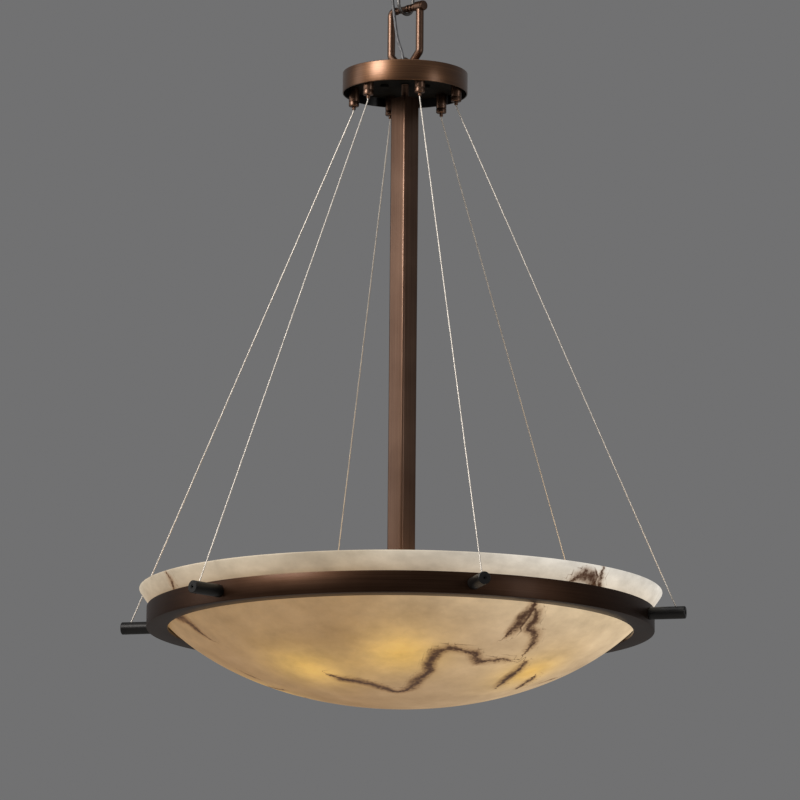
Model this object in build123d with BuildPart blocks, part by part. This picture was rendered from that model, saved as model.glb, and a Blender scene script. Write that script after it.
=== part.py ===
"""Stone bowl pendant: a rolled angle ring hung on six cables carries a thick translucent bowl.

Millimetres. +Z is up and the origin is the middle of the ceiling face, so everything hangs below 0.
The square tube's faces look along X and Y, and the first ring pin points along +X.
"""

from build123d import *
from math import asin, atan2, cos, degrees, pi, radians, sin, sqrt, tan
import os

os.makedirs("parts", exist_ok=True)

# ---- clearances
thread_gap = 0.05
hole_gap = 0.1
slide_gap = 0.08
cable_gap = 0.25
loose_gap = 0.3

# ---- ceiling fitting
canopy_radius = 70.0
canopy_height = 25.4
sheet = 1.5
sheet_edge = 1.2
strap_length = 108.0
strap_width = 20.0
strap_thickness = 3.0
strap_hole_spacing = 88.9
strap_hole_radius = 2.5
pipe_radius = 4.9
pipe_bore = 3.4
pipe_nut_flats = 16.0
pipe_nut_height = 4.5
pipe_end = 1.0
collar_radius = 9.5
collar_height = 9.0
collar_thread_depth = 6.0
eye_rod_radius = 3.0
eye_ring_radius = 11.0
eye_sink = 2.0

# ---- hanging loop
loop_rod_radius = 2.0
loop_half_width = 12.5
loop_length = 34.0

# ---- shackle and its screw pin
bar_radius = 4.75
bar_bend = 5.75
shackle_half_width = 24.0
shackle_depth = 70.5
shackle_cut_corner = 14.0
shackle_stub = 9.0
shackle_eye_radius = 6.3
shackle_eye_length = 10.4
pin_neck_radius = 4.6
pin_seat_radius = 4.0
pin_seat_width = 5.6
pin_groove_depth = 0.9
pin_rib_width = 3.2
pin_rib_pitch = 5.3
pin_near_ribs = 3
pin_far_ribs = 2
pin_tip_radius = 3.0
pin_tip_length = 7.0
pin_head_radius = 7.6
pin_head_length = 8.5
pin_head_flutes = 12
pin_flute_radius = 1.2

# ---- staple on the hub
staple_rod_radius = 2.5
staple_side_gap = 1.45
staple_rise = 18.05
staple_leg = 8.0
staple_nut_flats = 8.0
staple_nut_height = 4.0

# ---- hub
hub_radius = 76.2
hub_height = 25.4
hub_lip_edge = 0.8
plate_recess = 4.0
plate_thickness = 3.0
plate_stud_radius = 2.0
plate_stud_circle = 25.0
plate_stud_turn = 45.0
knob_radius = 3.2
knob_height = 9.0
knob_edge = 0.6

# ---- cable grippers and cables
cable_count = 6
cable_radius = 0.9
cable_bend = 8.0
cable_tail = 5.0
gripper_inset = 12.0
gripper_radius = 3.6
gripper_length = 15.2
gripper_edge = 0.6
gripper_stud_radius = 2.5
gripper_stud_end = 1.0
gripper_nut_flats = 8.0
gripper_nut_height = 3.0
plunger_radius = 2.25
plunger_reach = 4.8
plunger_held = 5.2
plunger_travel = 1.8
plunger_spare = 0.5
cable_bend_drop = 2.4

# ---- centre tube
tube_side = 25.4
tube_wall = 1.6
tube_corner = 3.0
tube_cap = 4.0

# ---- support ring and its pins
ring_drop = 661.6
ring_radius = 304.8
ring_height = 25.4
ring_flange = 25.4
ring_thickness = 3.2
ring_root = 2.0
pin_radius = 7.5
pin_reach = 43.7
pin_edge = 0.8
pin_stud_radius = 4.0
pin_nut_flats = 13.0
pin_nut_height = 4.0
pin_stud_end = 1.1
anchor_inset = 8.5
cable_foot = 4.0
grub_radius = 2.5
grub_recess = 0.6
grub_socket_flats = 2.5
grub_socket_depth = 2.5

# ---- bowl and its seat
bowl_drop = 90.0
bowl_rise = 22.6
bowl_overhang = 10.0
bowl_seat_lap = 1.1
bowl_wall = 10.0
bowl_rim_round = 3.3
seat_width = 9.2
seat_height = 3.0

# ---- lamps
lamp_count = 6
lamp_turn = 45.0
lamp_rise = 4.0
cluster_radius = 28.0
cluster_height = 40.0
cluster_edge = 3.0
tube_socket_depth = 9.0
finial_radius = 14.0
finial_height = 12.0
finial_stud_radius = 4.0
finial_stud_length = 8.0
arm_grip = 5.0
arm_reach = 12.0
holder_radius = 19.0
holder_length = 44.0
holder_neck_radius = 13.0
holder_neck_length = 9.0
holder_edge = 1.0
bulb_cap_radius = 12.9
bulb_cap_length = 26.0
bulb_cap_gap = 0.4
bulb_neck_radius = 14.0
bulb_neck_length = 12.0
bulb_radius = 30.0
bulb_glass_length = 80.0

# ---- supply cord
cord_radius = 1.8
bush_radius = 5.0
bush_height = 3.0
bush_neck_radius = 4.0
bush_edge = 1.0

# ---- levels, from the ceiling down
canopy_floor = -canopy_height
collar_bottom = canopy_floor - collar_height
eye_level = collar_bottom + eye_sink - eye_rod_radius - eye_ring_radius
eye_bar_level = eye_level - eye_ring_radius
loop_top_level = eye_bar_level + eye_rod_radius + loose_gap + loop_rod_radius
loop_bottom_level = loop_top_level - loop_length
pin_level = loop_bottom_level + loop_rod_radius + loose_gap + pin_seat_radius
bar_level = pin_level - shackle_depth
staple_top_level = bar_level + bar_radius + loose_gap + staple_rod_radius
hub_top = staple_top_level - staple_rise
hub_bottom = hub_top - hub_height
hub_ceiling = hub_top - sheet
plate_bottom = hub_bottom + plate_recess
plate_top = plate_bottom + plate_thickness
gripper_bottom = plate_bottom - gripper_length
plunger_bottom = gripper_bottom - plunger_reach
cable_bend_level = plunger_bottom - cable_bend_drop
ring_bottom = hub_bottom - ring_drop
ring_floor = ring_bottom + ring_thickness
ring_pin_level = ring_bottom + ring_height / 2
bowl_bottom = ring_bottom - bowl_drop
bowl_rim = ring_bottom + ring_height + bowl_rise
lamp_level = ring_bottom + lamp_rise
cluster_top = lamp_level + cluster_height / 2
cluster_bottom = lamp_level - cluster_height / 2
tube_bottom = cluster_top - tube_socket_depth

# ---- distances from the axis
gripper_circle = hub_radius - gripper_inset
staple_half_width = bar_radius + loose_gap + staple_rod_radius + staple_side_gap
band_inner = ring_radius - ring_thickness
flange_inner = ring_radius - ring_flange
ring_pin_end = ring_radius + pin_reach
anchor = ring_pin_end - anchor_inset
nut_seat = sqrt(band_inner**2 - pin_nut_flats**2 / 3)
seat_contact = flange_inner + bowl_seat_lap
bowl_rim_radius = ring_radius + bowl_overhang
holder_start = cluster_radius + arm_reach
holder_mouth = holder_start + holder_length
cable_lean = atan2(anchor - gripper_circle, cable_bend_level - ring_pin_level)

# ---- bowl outline: an ellipse through its lowest point, the seat and the rim
seat_top = ring_floor + seat_height
seat_rise = seat_top - bowl_bottom
rim_rise = bowl_rim - bowl_bottom
seat_share = (seat_contact / bowl_rim_radius) ** 2
bowl_depth = (seat_share * rim_rise**2 - seat_rise**2) / (2 * (seat_share * rim_rise - seat_rise))
bowl_width = bowl_rim_radius / sqrt(2 * rim_rise / bowl_depth - (rim_rise / bowl_depth) ** 2)
bowl_centre = bowl_bottom + bowl_depth


def spoke(angle, radius=0.0, level=0.0):
    """Plane that looks outwards along a spoke, with its own Y upwards."""
    a = radians(angle)
    return Plane(
        origin=(radius * cos(a), radius * sin(a), level),
        x_dir=(-sin(a), cos(a), 0),
        z_dir=(cos(a), sin(a), 0),
    )


def upright(angle):
    """Upright plane through the axis: its X runs out along the spoke and its Y is up."""
    a = radians(angle)
    return Plane(origin=(0, 0, 0), x_dir=(cos(a), sin(a), 0), z_dir=(sin(a), -cos(a), 0))


def spoke_angles(count, turn=0.0):
    """Equal steps round the axis."""
    return [turn + 360.0 / count * n for n in range(count)]


def across(start, end, radius, level):
    """Adds a round bar along Y from start to end, on the axis plane at a level, to the open part."""
    with BuildSketch(Plane.XZ.offset(-end)) as section:
        with Locations((0, level)):
            Circle(radius)
    extrude(section.sketch, amount=end - start)


def save(part, name):
    """Labels a finished piece and writes its file."""
    part.label = name
    export_step(part, f"parts/{name}.step")


def nuts(places, base, height, flats, bore):
    """Hexagon nuts that stand on a level, as one group."""
    with BuildPart() as group:
        with BuildSketch(Plane.XY.offset(base)):
            with Locations(*places):
                RegularPolygon(flats / 2, 6, major_radius=False)
                Circle(bore + thread_gap, mode=Mode.SUBTRACT)
        extrude(amount=height)
    return group.part


def pipe(base, top, radius, bore):
    """A threaded pipe on the axis."""
    with BuildPart() as piece:
        with BuildSketch(Plane.XY.offset(base)):
            Circle(radius)
            Circle(bore, mode=Mode.SUBTRACT)
        extrude(amount=top - base)
    return piece.part


def cord_bush(x, y, face, side):
    """Flanged bush in a sheet's hole; side is 1 with its flange above the sheet and -1 below."""
    flange_base = face if side > 0 else face - bush_height
    neck_base = face - sheet if side > 0 else face
    with BuildPart() as piece:
        with BuildSketch(Plane.XY.offset(flange_base)):
            with Locations((x, y)):
                Circle(bush_radius)
        extrude(amount=bush_height)
        chamfer(piece.edges().group_by(Axis.Z)[-1 if side > 0 else 0], bush_edge)
        with BuildSketch(Plane.XY.offset(neck_base)):
            with Locations((x, y)):
                Circle(bush_neck_radius)
        extrude(amount=sheet)
        with BuildSketch(Plane.XY.offset(min(flange_base, neck_base))):
            with Locations((x, y)):
                Circle(cord_radius + cable_gap)
        extrude(amount=bush_height + sheet, mode=Mode.SUBTRACT)
    return piece.part


# ---- ceiling fitting
with BuildPart() as mounting_strap:
    with BuildSketch(Plane.XY.offset(-strap_thickness)):
        SlotOverall(strap_length, strap_width)
        Circle(pipe_radius + thread_gap, mode=Mode.SUBTRACT)
        with GridLocations(strap_hole_spacing, 0, 2, 1):
            Circle(strap_hole_radius, mode=Mode.SUBTRACT)
    extrude(amount=strap_thickness)
save(mounting_strap.part, "mounting_strap")

save(pipe(canopy_floor - collar_thread_depth, 0, pipe_radius, pipe_bore), "canopy_nipple")
locknut_base = -strap_thickness - pipe_nut_height
save(nuts([(0, 0)], locknut_base, pipe_nut_height, pipe_nut_flats, pipe_radius), "nipple_locknut")

canopy_cord = (-13.5, 15.5)
with BuildPart() as canopy_shell:
    with BuildSketch(Plane.XY.offset(canopy_floor)):
        Circle(canopy_radius)
    extrude(amount=canopy_height)
    chamfer(canopy_shell.edges().group_by(Axis.Z)[0], sheet_edge)
    with BuildSketch(Plane.XY.offset(canopy_floor + sheet)):
        Circle(canopy_radius - sheet)
    extrude(amount=canopy_height - sheet, mode=Mode.SUBTRACT)
    with BuildSketch(Plane.XY.offset(canopy_floor)):
        Circle(pipe_radius + hole_gap)
        with Locations(canopy_cord):
            Circle(bush_neck_radius + hole_gap)
    extrude(amount=sheet, mode=Mode.SUBTRACT)
save(canopy_shell.part, "canopy_shell")

# The loop under the canopy is a collar with a closed ring, which stands in the plane x = 0.
with BuildPart() as canopy_loop:
    with BuildSketch(Plane.XY.offset(collar_bottom)):
        Circle(collar_radius)
    extrude(amount=collar_height)
    chamfer(canopy_loop.edges().group_by(Axis.Z)[0], sheet_edge)
    with Locations(Location((0, 0, eye_level), (0, 90, 0))):
        Torus(eye_ring_radius, eye_rod_radius)
    with BuildSketch(Plane.XY.offset(canopy_floor - collar_thread_depth)):
        Circle(pipe_radius + thread_gap)
    extrude(amount=collar_thread_depth, mode=Mode.SUBTRACT)
save(canopy_loop.part, "canopy_loop")
save(cord_bush(*canopy_cord, canopy_floor, -1), "canopy_cord_bush")

# ---- hanging loop: a long ring of round rod in the plane y = 0
loop_arc_top = loop_top_level - loop_half_width
loop_arc_bottom = loop_bottom_level + loop_half_width
with BuildPart() as hanging_loop:
    for side, level in ((1, loop_arc_top), (-1, loop_arc_bottom)):
        with BuildSketch(Plane.XY.offset(level)):
            with Locations((loop_half_width, 0)):
                Circle(loop_rod_radius)
        revolve(axis=Axis((0, 0, level), (0, -side, 0)), revolution_arc=180)
    with BuildSketch(Plane.XY.offset(loop_arc_bottom)):
        with GridLocations(2 * loop_half_width, 0, 2, 1):
            Circle(loop_rod_radius)
    extrude(amount=loop_arc_top - loop_arc_bottom)
save(hanging_loop.part, "hanging_loop")

# ---- shackle: one bent bar in the plane x = 0, with an eye at its near end and a bored far end
half = shackle_half_width
stub_face = half - shackle_stub
pin_tip = stub_face + pin_tip_length
with BuildLine(Plane.YZ) as bow_line:
    FilletPolyline(
        (-half, pin_level),
        (-half, bar_level + shackle_cut_corner),
        (shackle_cut_corner - half, bar_level),
        (half - shackle_cut_corner, bar_level),
        (half, bar_level + shackle_cut_corner),
        (half, pin_level),
        (stub_face, pin_level),
        radius=bar_bend,
    )
with BuildPart() as shackle_bow:
    with BuildSketch(Plane.XY.offset(pin_level)):
        with Locations((0, -half)):
            Circle(bar_radius)
    sweep(path=bow_line.wires()[0])
    across(-half - shackle_eye_length / 2, -half + shackle_eye_length / 2, shackle_eye_radius, pin_level)
    with BuildSketch(Plane.XZ.offset(half - shackle_eye_length / 2)):
        with Locations((0, pin_level)):
            Circle(pin_neck_radius + slide_gap)
    extrude(amount=shackle_eye_length, mode=Mode.SUBTRACT)
    with BuildSketch(Plane.XZ.offset(-pin_tip - hole_gap)):
        with Locations((0, pin_level)):
            Circle(pin_tip_radius + slide_gap)
    extrude(amount=pin_tip_length + hole_gap, mode=Mode.SUBTRACT)
save(shackle_bow.part, "shackle_bow")

# The pin goes in along +Y: fluted head, neck in the near eye, ribs, the loop's seat, then the tip.
head_face = -half - shackle_eye_length / 2
rib_start = -pin_seat_width / 2
rib_radii = {-1: (pin_neck_radius, pin_near_ribs), 1: (pin_seat_radius, pin_far_ribs)}
with BuildPart() as shackle_pin:
    across(head_face, rib_start, pin_neck_radius - pin_groove_depth, pin_level)
    across(rib_start, -rib_start, pin_seat_radius, pin_level)
    across(-rib_start, stub_face, pin_seat_radius - pin_groove_depth, pin_level)
    across(stub_face, pin_tip, pin_tip_radius, pin_level)
    across(head_face, -half + shackle_eye_length / 2, pin_neck_radius, pin_level)
    for side, (radius, count) in rib_radii.items():
        for n in range(count):
            near = pin_seat_width / 2 + n * pin_rib_pitch
            span = sorted((side * near, side * (near + pin_rib_width)))
            across(*span, radius, pin_level)
    with BuildSketch(Plane.XZ.offset(-head_face)):
        with Locations((0, pin_level)):
            Circle(pin_head_radius)
            with PolarLocations(pin_head_radius + pin_flute_radius / 2, pin_head_flutes):
                Circle(pin_flute_radius, mode=Mode.SUBTRACT)
    extrude(amount=pin_head_length)
save(shackle_pin.part, "shackle_pin")

# ---- staple: a U of round rod in the plane y = 0 that takes the shackle's bottom bar
staple_arc_level = staple_top_level - staple_half_width
staple_foot = hub_top - staple_leg
staple_places = [(-staple_half_width, 0), (staple_half_width, 0)]
with BuildPart() as hub_staple:
    with BuildSketch(Plane.XY.offset(staple_arc_level)):
        with Locations((staple_half_width, 0)):
            Circle(staple_rod_radius)
    revolve(axis=Axis((0, 0, staple_arc_level), (0, -1, 0)), revolution_arc=180)
    with BuildSketch(Plane.XY.offset(staple_foot)):
        with Locations(*staple_places):
            Circle(staple_rod_radius)
    extrude(amount=staple_arc_level - staple_foot)
save(hub_staple.part, "hub_staple")
staple_nut_base = hub_ceiling - staple_nut_height
staple_nut_set = nuts(
    staple_places, staple_nut_base, staple_nut_height, staple_nut_flats, staple_rod_radius
)
save(staple_nut_set, "staple_nuts")

# ---- hub: a drawn drum open below, and the plate inside it that carries tube and grippers
hub_cord = (-13.0, -9.9)
with BuildPart() as hub_shell:
    with BuildSketch(Plane.XY.offset(hub_bottom)):
        Circle(hub_radius)
    extrude(amount=hub_height)
    chamfer(hub_shell.edges().group_by(Axis.Z)[-1], sheet_edge)
    chamfer(hub_shell.edges().group_by(Axis.Z)[0], hub_lip_edge)
    with BuildSketch(Plane.XY.offset(hub_bottom)):
        Circle(hub_radius - sheet)
    extrude(amount=hub_height - sheet, mode=Mode.SUBTRACT)
    with BuildSketch(Plane.XY.offset(hub_ceiling)):
        with Locations(*staple_places):
            Circle(staple_rod_radius + hole_gap)
        with Locations(hub_cord):
            Circle(bush_neck_radius + hole_gap)
    extrude(amount=sheet, mode=Mode.SUBTRACT)
save(hub_shell.part, "hub_shell")
save(cord_bush(*hub_cord, hub_top, 1), "hub_cord_bush")

with BuildPart() as hub_plate:
    with BuildSketch(Plane.XY.offset(plate_bottom)):
        Circle(hub_radius - sheet - hole_gap)
        Circle(pipe_radius + hole_gap, mode=Mode.SUBTRACT)
        with PolarLocations(gripper_circle, cable_count):
            Circle(gripper_stud_radius + hole_gap, mode=Mode.SUBTRACT)
        with PolarLocations(plate_stud_circle, 2, start_angle=plate_stud_turn):
            Circle(plate_stud_radius + hole_gap, mode=Mode.SUBTRACT)
    extrude(amount=plate_thickness)
save(hub_plate.part, "hub_plate")

with BuildPart() as plate_studs:
    with BuildSketch(Plane.XY.offset(plate_bottom - knob_height / 2)):
        with PolarLocations(plate_stud_circle, 2, start_angle=plate_stud_turn):
            Circle(plate_stud_radius)
    extrude(amount=hub_ceiling - plate_bottom + knob_height / 2)
save(plate_studs.part, "plate_studs")

with BuildPart() as plate_knobs:
    with BuildSketch(Plane.XY.offset(plate_bottom - knob_height)):
        with PolarLocations(plate_stud_circle, 2, start_angle=plate_stud_turn):
            Circle(knob_radius)
    extrude(amount=knob_height)
    chamfer(plate_knobs.edges().group_by(Axis.Z)[0], knob_edge)
    with BuildSketch(Plane.XY.offset(plate_bottom - knob_height / 2 - hole_gap)):
        with PolarLocations(plate_stud_circle, 2, start_angle=plate_stud_turn):
            Circle(plate_stud_radius + thread_gap)
    extrude(amount=knob_height / 2 + hole_gap, mode=Mode.SUBTRACT)
save(plate_knobs.part, "plate_knobs")

# ---- cable grippers: a threaded body through the plate, its nut, and a sprung plunger below
stud_top = plate_top + gripper_nut_height + gripper_stud_end
plunger_top = gripper_bottom + plunger_held
plunger_room = plunger_held + plunger_travel + plunger_spare
with BuildPart() as cable_grippers:
    with BuildSketch(Plane.XY.offset(gripper_bottom)):
        with PolarLocations(gripper_circle, cable_count):
            Circle(gripper_radius)
    extrude(amount=gripper_length)
    chamfer(cable_grippers.edges().group_by(Axis.Z)[0], gripper_edge)
    with BuildSketch(Plane.XY.offset(plate_bottom)):
        with PolarLocations(gripper_circle, cable_count):
            Circle(gripper_stud_radius)
    extrude(amount=stud_top - plate_bottom)
    with BuildSketch(Plane.XY.offset(gripper_bottom)):
        with PolarLocations(gripper_circle, cable_count):
            Circle(cable_radius + cable_gap)
    extrude(amount=stud_top - gripper_bottom, mode=Mode.SUBTRACT)
    with BuildSketch(Plane.XY.offset(gripper_bottom)):
        with PolarLocations(gripper_circle, cable_count):
            Circle(plunger_radius + slide_gap)
    extrude(amount=plunger_room, mode=Mode.SUBTRACT)
save(cable_grippers.part, "cable_grippers")

with BuildPart() as gripper_nuts:
    with BuildSketch(Plane.XY.offset(plate_top)):
        with PolarLocations(gripper_circle, cable_count):
            RegularPolygon(gripper_nut_flats / 2, 6, major_radius=False)
            Circle(gripper_stud_radius + thread_gap, mode=Mode.SUBTRACT)
    extrude(amount=gripper_nut_height)
save(gripper_nuts.part, "gripper_nuts")

for number, angle in enumerate(spoke_angles(cable_count), start=1):
    gripper_axis = Plane(origin=spoke(angle, gripper_circle, plunger_bottom).origin)
    with BuildPart() as plunger:
        with BuildSketch(gripper_axis):
            Circle(plunger_radius)
            Circle(cable_radius + cable_gap, mode=Mode.SUBTRACT)
        extrude(amount=plunger_top - plunger_bottom)
    save(plunger.part, f"gripper_plunger_{number}")

    # The cable stands straight in its gripper, bends just below it and runs taut to the ring pin.
    cable_top = stud_top + cable_tail
    foot_run = cable_foot / cos(cable_lean)
    with BuildLine(upright(angle)) as cable_line:
        FilletPolyline(
            (gripper_circle, cable_top),
            (gripper_circle, cable_bend_level),
            (anchor + foot_run * sin(cable_lean), ring_pin_level - foot_run * cos(cable_lean)),
            radius=cable_bend,
        )
    with BuildPart() as cable:
        with BuildSketch(Plane(origin=spoke(angle, gripper_circle, cable_top).origin)):
            Circle(cable_radius)
        sweep(path=cable_line.wires()[0])
    save(cable.part, f"suspension_cable_{number}")

    # The ring pin: a black head outside the band, a stud through it, and a slanted cable hole.
    cable_way = Plane(
        origin=spoke(angle, anchor, ring_pin_level).origin,
        z_dir=spoke(angle).z_dir * -sin(cable_lean) + Vector(0, 0, cos(cable_lean)),
    )
    with BuildPart() as ring_pin:
        with BuildSketch(spoke(angle, ring_radius, ring_pin_level)):
            Circle(pin_radius)
        extrude(amount=pin_reach)
        chamfer(ring_pin.edges().sort_by(Axis((0, 0, 0), spoke(angle).z_dir))[-1], pin_edge)
        with BuildSketch(spoke(angle, nut_seat - pin_nut_height - pin_stud_end, ring_pin_level)):
            Circle(pin_stud_radius)
        extrude(amount=ring_radius - nut_seat + pin_nut_height + pin_stud_end)
        with BuildSketch(cable_way.offset(-2 * pin_radius)):
            Circle(cable_radius + cable_gap)
        extrude(amount=4 * pin_radius, mode=Mode.SUBTRACT)
        with BuildSketch(spoke(angle, anchor, ring_pin_level)):
            Circle(grub_radius + thread_gap)
        extrude(amount=anchor_inset, mode=Mode.SUBTRACT)
    save(ring_pin.part, f"ring_pin_{number}")

# ---- support ring: angle section with its flange below, pointing inwards
ring_section = [
    (flange_inner, ring_bottom),
    (ring_radius, ring_bottom),
    (ring_radius, ring_bottom + ring_height),
    (band_inner, ring_bottom + ring_height),
    (band_inner, ring_floor),
    (flange_inner, ring_floor),
]
with BuildPart() as support_ring:
    with BuildSketch(Plane.XZ) as angle_section:
        Polygon(*ring_section, align=None)
        root = angle_section.vertices().sort_by_distance((band_inner, ring_floor))[0]
        fillet(root, ring_root)
    revolve(axis=Axis.Z)
    for angle in spoke_angles(cable_count):
        with BuildSketch(spoke(angle, band_inner - ring_root, ring_pin_level)):
            Circle(pin_stud_radius + hole_gap)
        extrude(amount=ring_thickness + 2 * ring_root, mode=Mode.SUBTRACT)
save(support_ring.part, "support_ring")

with BuildPart() as pin_nuts:
    for angle in spoke_angles(cable_count):
        with BuildSketch(spoke(angle, nut_seat - pin_nut_height, ring_pin_level)):
            RegularPolygon(pin_nut_flats / 2, 6, major_radius=False)
            Circle(pin_stud_radius + thread_gap, mode=Mode.SUBTRACT)
        extrude(amount=pin_nut_height)
save(pin_nuts.part, "pin_nuts")

grub_start = anchor + grub_radius * tan(cable_lean) + cable_radius / cos(cable_lean) + hole_gap
with BuildPart() as pin_grub_screws:
    for angle in spoke_angles(cable_count):
        with BuildSketch(spoke(angle, grub_start, ring_pin_level)):
            Circle(grub_radius)
        extrude(amount=ring_pin_end - grub_recess - grub_start)
        with BuildSketch(spoke(angle, ring_pin_end - grub_recess, ring_pin_level)):
            RegularPolygon(grub_socket_flats / 2, 6, major_radius=False)
        extrude(amount=-grub_socket_depth, mode=Mode.SUBTRACT)
save(pin_grub_screws.part, "pin_grub_screws")

# ---- bowl and its seat ring
inner_width = bowl_width - bowl_wall
inner_depth = bowl_depth - bowl_wall
rim_drop = bowl_centre - bowl_rim
inner_rim_radius = inner_width * sqrt(1 - (rim_drop / inner_depth) ** 2)
lowest_turn = -90.0
outer_turn = degrees(atan2(-rim_drop / bowl_depth, bowl_rim_radius / bowl_width)) - lowest_turn
inner_turn = degrees(atan2(-rim_drop / inner_depth, inner_rim_radius / inner_width)) - lowest_turn
with BuildPart() as alabaster_bowl:
    with BuildSketch(Plane.XZ) as bowl_section:
        with BuildLine():
            outside = EllipticalCenterArc(
                (0, bowl_centre), bowl_width, bowl_depth, lowest_turn, arc_size=outer_turn
            )
            inside = EllipticalCenterArc(
                (0, bowl_centre), inner_width, inner_depth, lowest_turn, arc_size=inner_turn
            )
            Line(outside @ 1, inside @ 1)
            Line(outside @ 0, inside @ 0)
        make_face()
        fillet(bowl_section.vertices().group_by(Axis.Y)[-1], min(bowl_rim_round, bowl_wall / 3))
    revolve(axis=Axis.Z)
save(alabaster_bowl.part, "alabaster_bowl")

seat_inner = seat_contact + loose_gap
with BuildPart() as bowl_seat:
    with BuildSketch(Plane.XY.offset(ring_floor)):
        Circle(seat_inner + seat_width)
        Circle(seat_inner, mode=Mode.SUBTRACT)
    extrude(amount=seat_height)
save(bowl_seat.part, "bowl_seat")

# ---- centre tube, hung from the plate by a threaded pipe
with BuildPart() as centre_tube:
    with BuildSketch(Plane.XY.offset(tube_bottom)):
        RectangleRounded(tube_side, tube_side, tube_corner)
    extrude(amount=plate_bottom - tube_bottom)
    with BuildSketch(Plane.XY.offset(tube_bottom)):
        RectangleRounded(tube_side - 2 * tube_wall, tube_side - 2 * tube_wall, tube_corner - tube_wall)
    extrude(amount=plate_bottom - tube_cap - tube_bottom, mode=Mode.SUBTRACT)
    with BuildSketch(Plane.XY.offset(plate_bottom - tube_cap)):
        Circle(pipe_radius + hole_gap)
    extrude(amount=tube_cap, mode=Mode.SUBTRACT)
save(centre_tube.part, "centre_tube")

tube_pipe_top = plate_top + pipe_nut_height + pipe_end
tube_pipe_foot = plate_bottom - tube_cap - pipe_nut_height - pipe_end
save(pipe(tube_pipe_foot, tube_pipe_top, pipe_radius, pipe_bore), "tube_nipple")
with BuildPart() as tube_nuts:
    for base in (plate_top, plate_bottom - tube_cap - pipe_nut_height):
        with BuildSketch(Plane.XY.offset(base)):
            RegularPolygon(pipe_nut_flats / 2, 6, major_radius=False)
            Circle(pipe_radius + thread_gap, mode=Mode.SUBTRACT)
        extrude(amount=pipe_nut_height)
save(tube_nuts.part, "tube_nuts")

# ---- lamp cluster at the tube's foot, its arms, lampholders and bulbs
with BuildPart() as lamp_cluster:
    with BuildSketch(Plane.XY.offset(cluster_bottom)):
        Circle(cluster_radius)
    extrude(amount=cluster_height)
    chamfer(lamp_cluster.edges().group_by(Axis.Z)[-1], cluster_edge)
    chamfer(lamp_cluster.edges().group_by(Axis.Z)[0], cluster_edge)
    with BuildSketch(Plane.XY.offset(tube_bottom)):
        RectangleRounded(tube_side + 2 * hole_gap, tube_side + 2 * hole_gap, tube_corner + hole_gap)
    extrude(amount=tube_socket_depth, mode=Mode.SUBTRACT)
    with BuildSketch(Plane.XY.offset(cluster_bottom)):
        Circle(finial_stud_radius + thread_gap)
    extrude(amount=finial_stud_length + hole_gap, mode=Mode.SUBTRACT)
    for angle in spoke_angles(lamp_count, lamp_turn):
        with BuildSketch(spoke(angle, cluster_radius - arm_grip, lamp_level)):
            Circle(pipe_radius + thread_gap)
        extrude(amount=2 * arm_grip, mode=Mode.SUBTRACT)
save(lamp_cluster.part, "lamp_cluster")

with BuildPart() as cluster_finial:
    with BuildSketch(Plane.XY.offset(cluster_bottom)):
        Circle(finial_radius)
    extrude(amount=-finial_height)
    chamfer(cluster_finial.edges().group_by(Axis.Z)[0], finial_height / 2)
    with BuildSketch(Plane.XY.offset(cluster_bottom)):
        Circle(finial_stud_radius)
    extrude(amount=finial_stud_length)
save(cluster_finial.part, "cluster_finial")

with BuildPart() as lamp_arms:
    for angle in spoke_angles(lamp_count, lamp_turn):
        with BuildSketch(spoke(angle, cluster_radius - arm_grip, lamp_level)):
            Circle(pipe_radius)
            Circle(pipe_bore, mode=Mode.SUBTRACT)
        extrude(amount=2 * arm_grip + arm_reach)
save(lamp_arms.part, "lamp_arms")

holder_bore_depth = bulb_cap_length + 2 * holder_edge
with BuildPart() as lampholders:
    for angle in spoke_angles(lamp_count, lamp_turn):
        with BuildSketch(spoke(angle, holder_start, lamp_level)):
            Circle(holder_neck_radius)
        extrude(amount=holder_neck_length)
        with BuildSketch(spoke(angle, holder_start + holder_neck_length, lamp_level)):
            Circle(holder_radius)
        extrude(amount=holder_length - holder_neck_length)
        with BuildSketch(spoke(angle, holder_mouth, lamp_level)):
            Circle(bulb_cap_radius + bulb_cap_gap)
        extrude(amount=-holder_bore_depth, mode=Mode.SUBTRACT)
        with BuildSketch(spoke(angle, holder_start, lamp_level)):
            Circle(pipe_radius + thread_gap)
        extrude(amount=arm_grip, mode=Mode.SUBTRACT)
save(lampholders.part, "lampholders")

# The bulb's outline runs along its spoke: a neck, a straight taper, then the round end it touches.
neck_end = holder_mouth + bulb_neck_length
round_centre = holder_mouth + bulb_glass_length - bulb_radius
neck_distance = sqrt((round_centre - neck_end) ** 2 + bulb_neck_radius**2)
taper_length = sqrt(neck_distance**2 - bulb_radius**2)
taper_turn = asin(bulb_radius / neck_distance) - atan2(bulb_neck_radius, round_centre - neck_end)
taper_end = (
    neck_end + taper_length * cos(taper_turn),
    lamp_level + bulb_neck_radius + taper_length * sin(taper_turn),
)
for number, angle in enumerate(spoke_angles(lamp_count, lamp_turn), start=1):
    with BuildPart() as bulb:
        with BuildSketch(spoke(angle, holder_mouth - bulb_cap_length, lamp_level)):
            Circle(bulb_cap_radius)
        extrude(amount=bulb_cap_length)
        with BuildSketch(upright(angle)):
            with BuildLine():
                Polyline(
                    (round_centre + bulb_radius, lamp_level),
                    (holder_mouth, lamp_level),
                    (holder_mouth, lamp_level + bulb_neck_radius),
                    (neck_end, lamp_level + bulb_neck_radius),
                    taper_end,
                )
                round_turn = 90 + degrees(taper_turn)
                CenterArc((round_centre, lamp_level), bulb_radius, round_turn, -round_turn)
            make_face()
        revolve(axis=Axis((0, 0, lamp_level), spoke(angle).z_dir))
    save(bulb.part, f"bulb_{number}")

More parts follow.
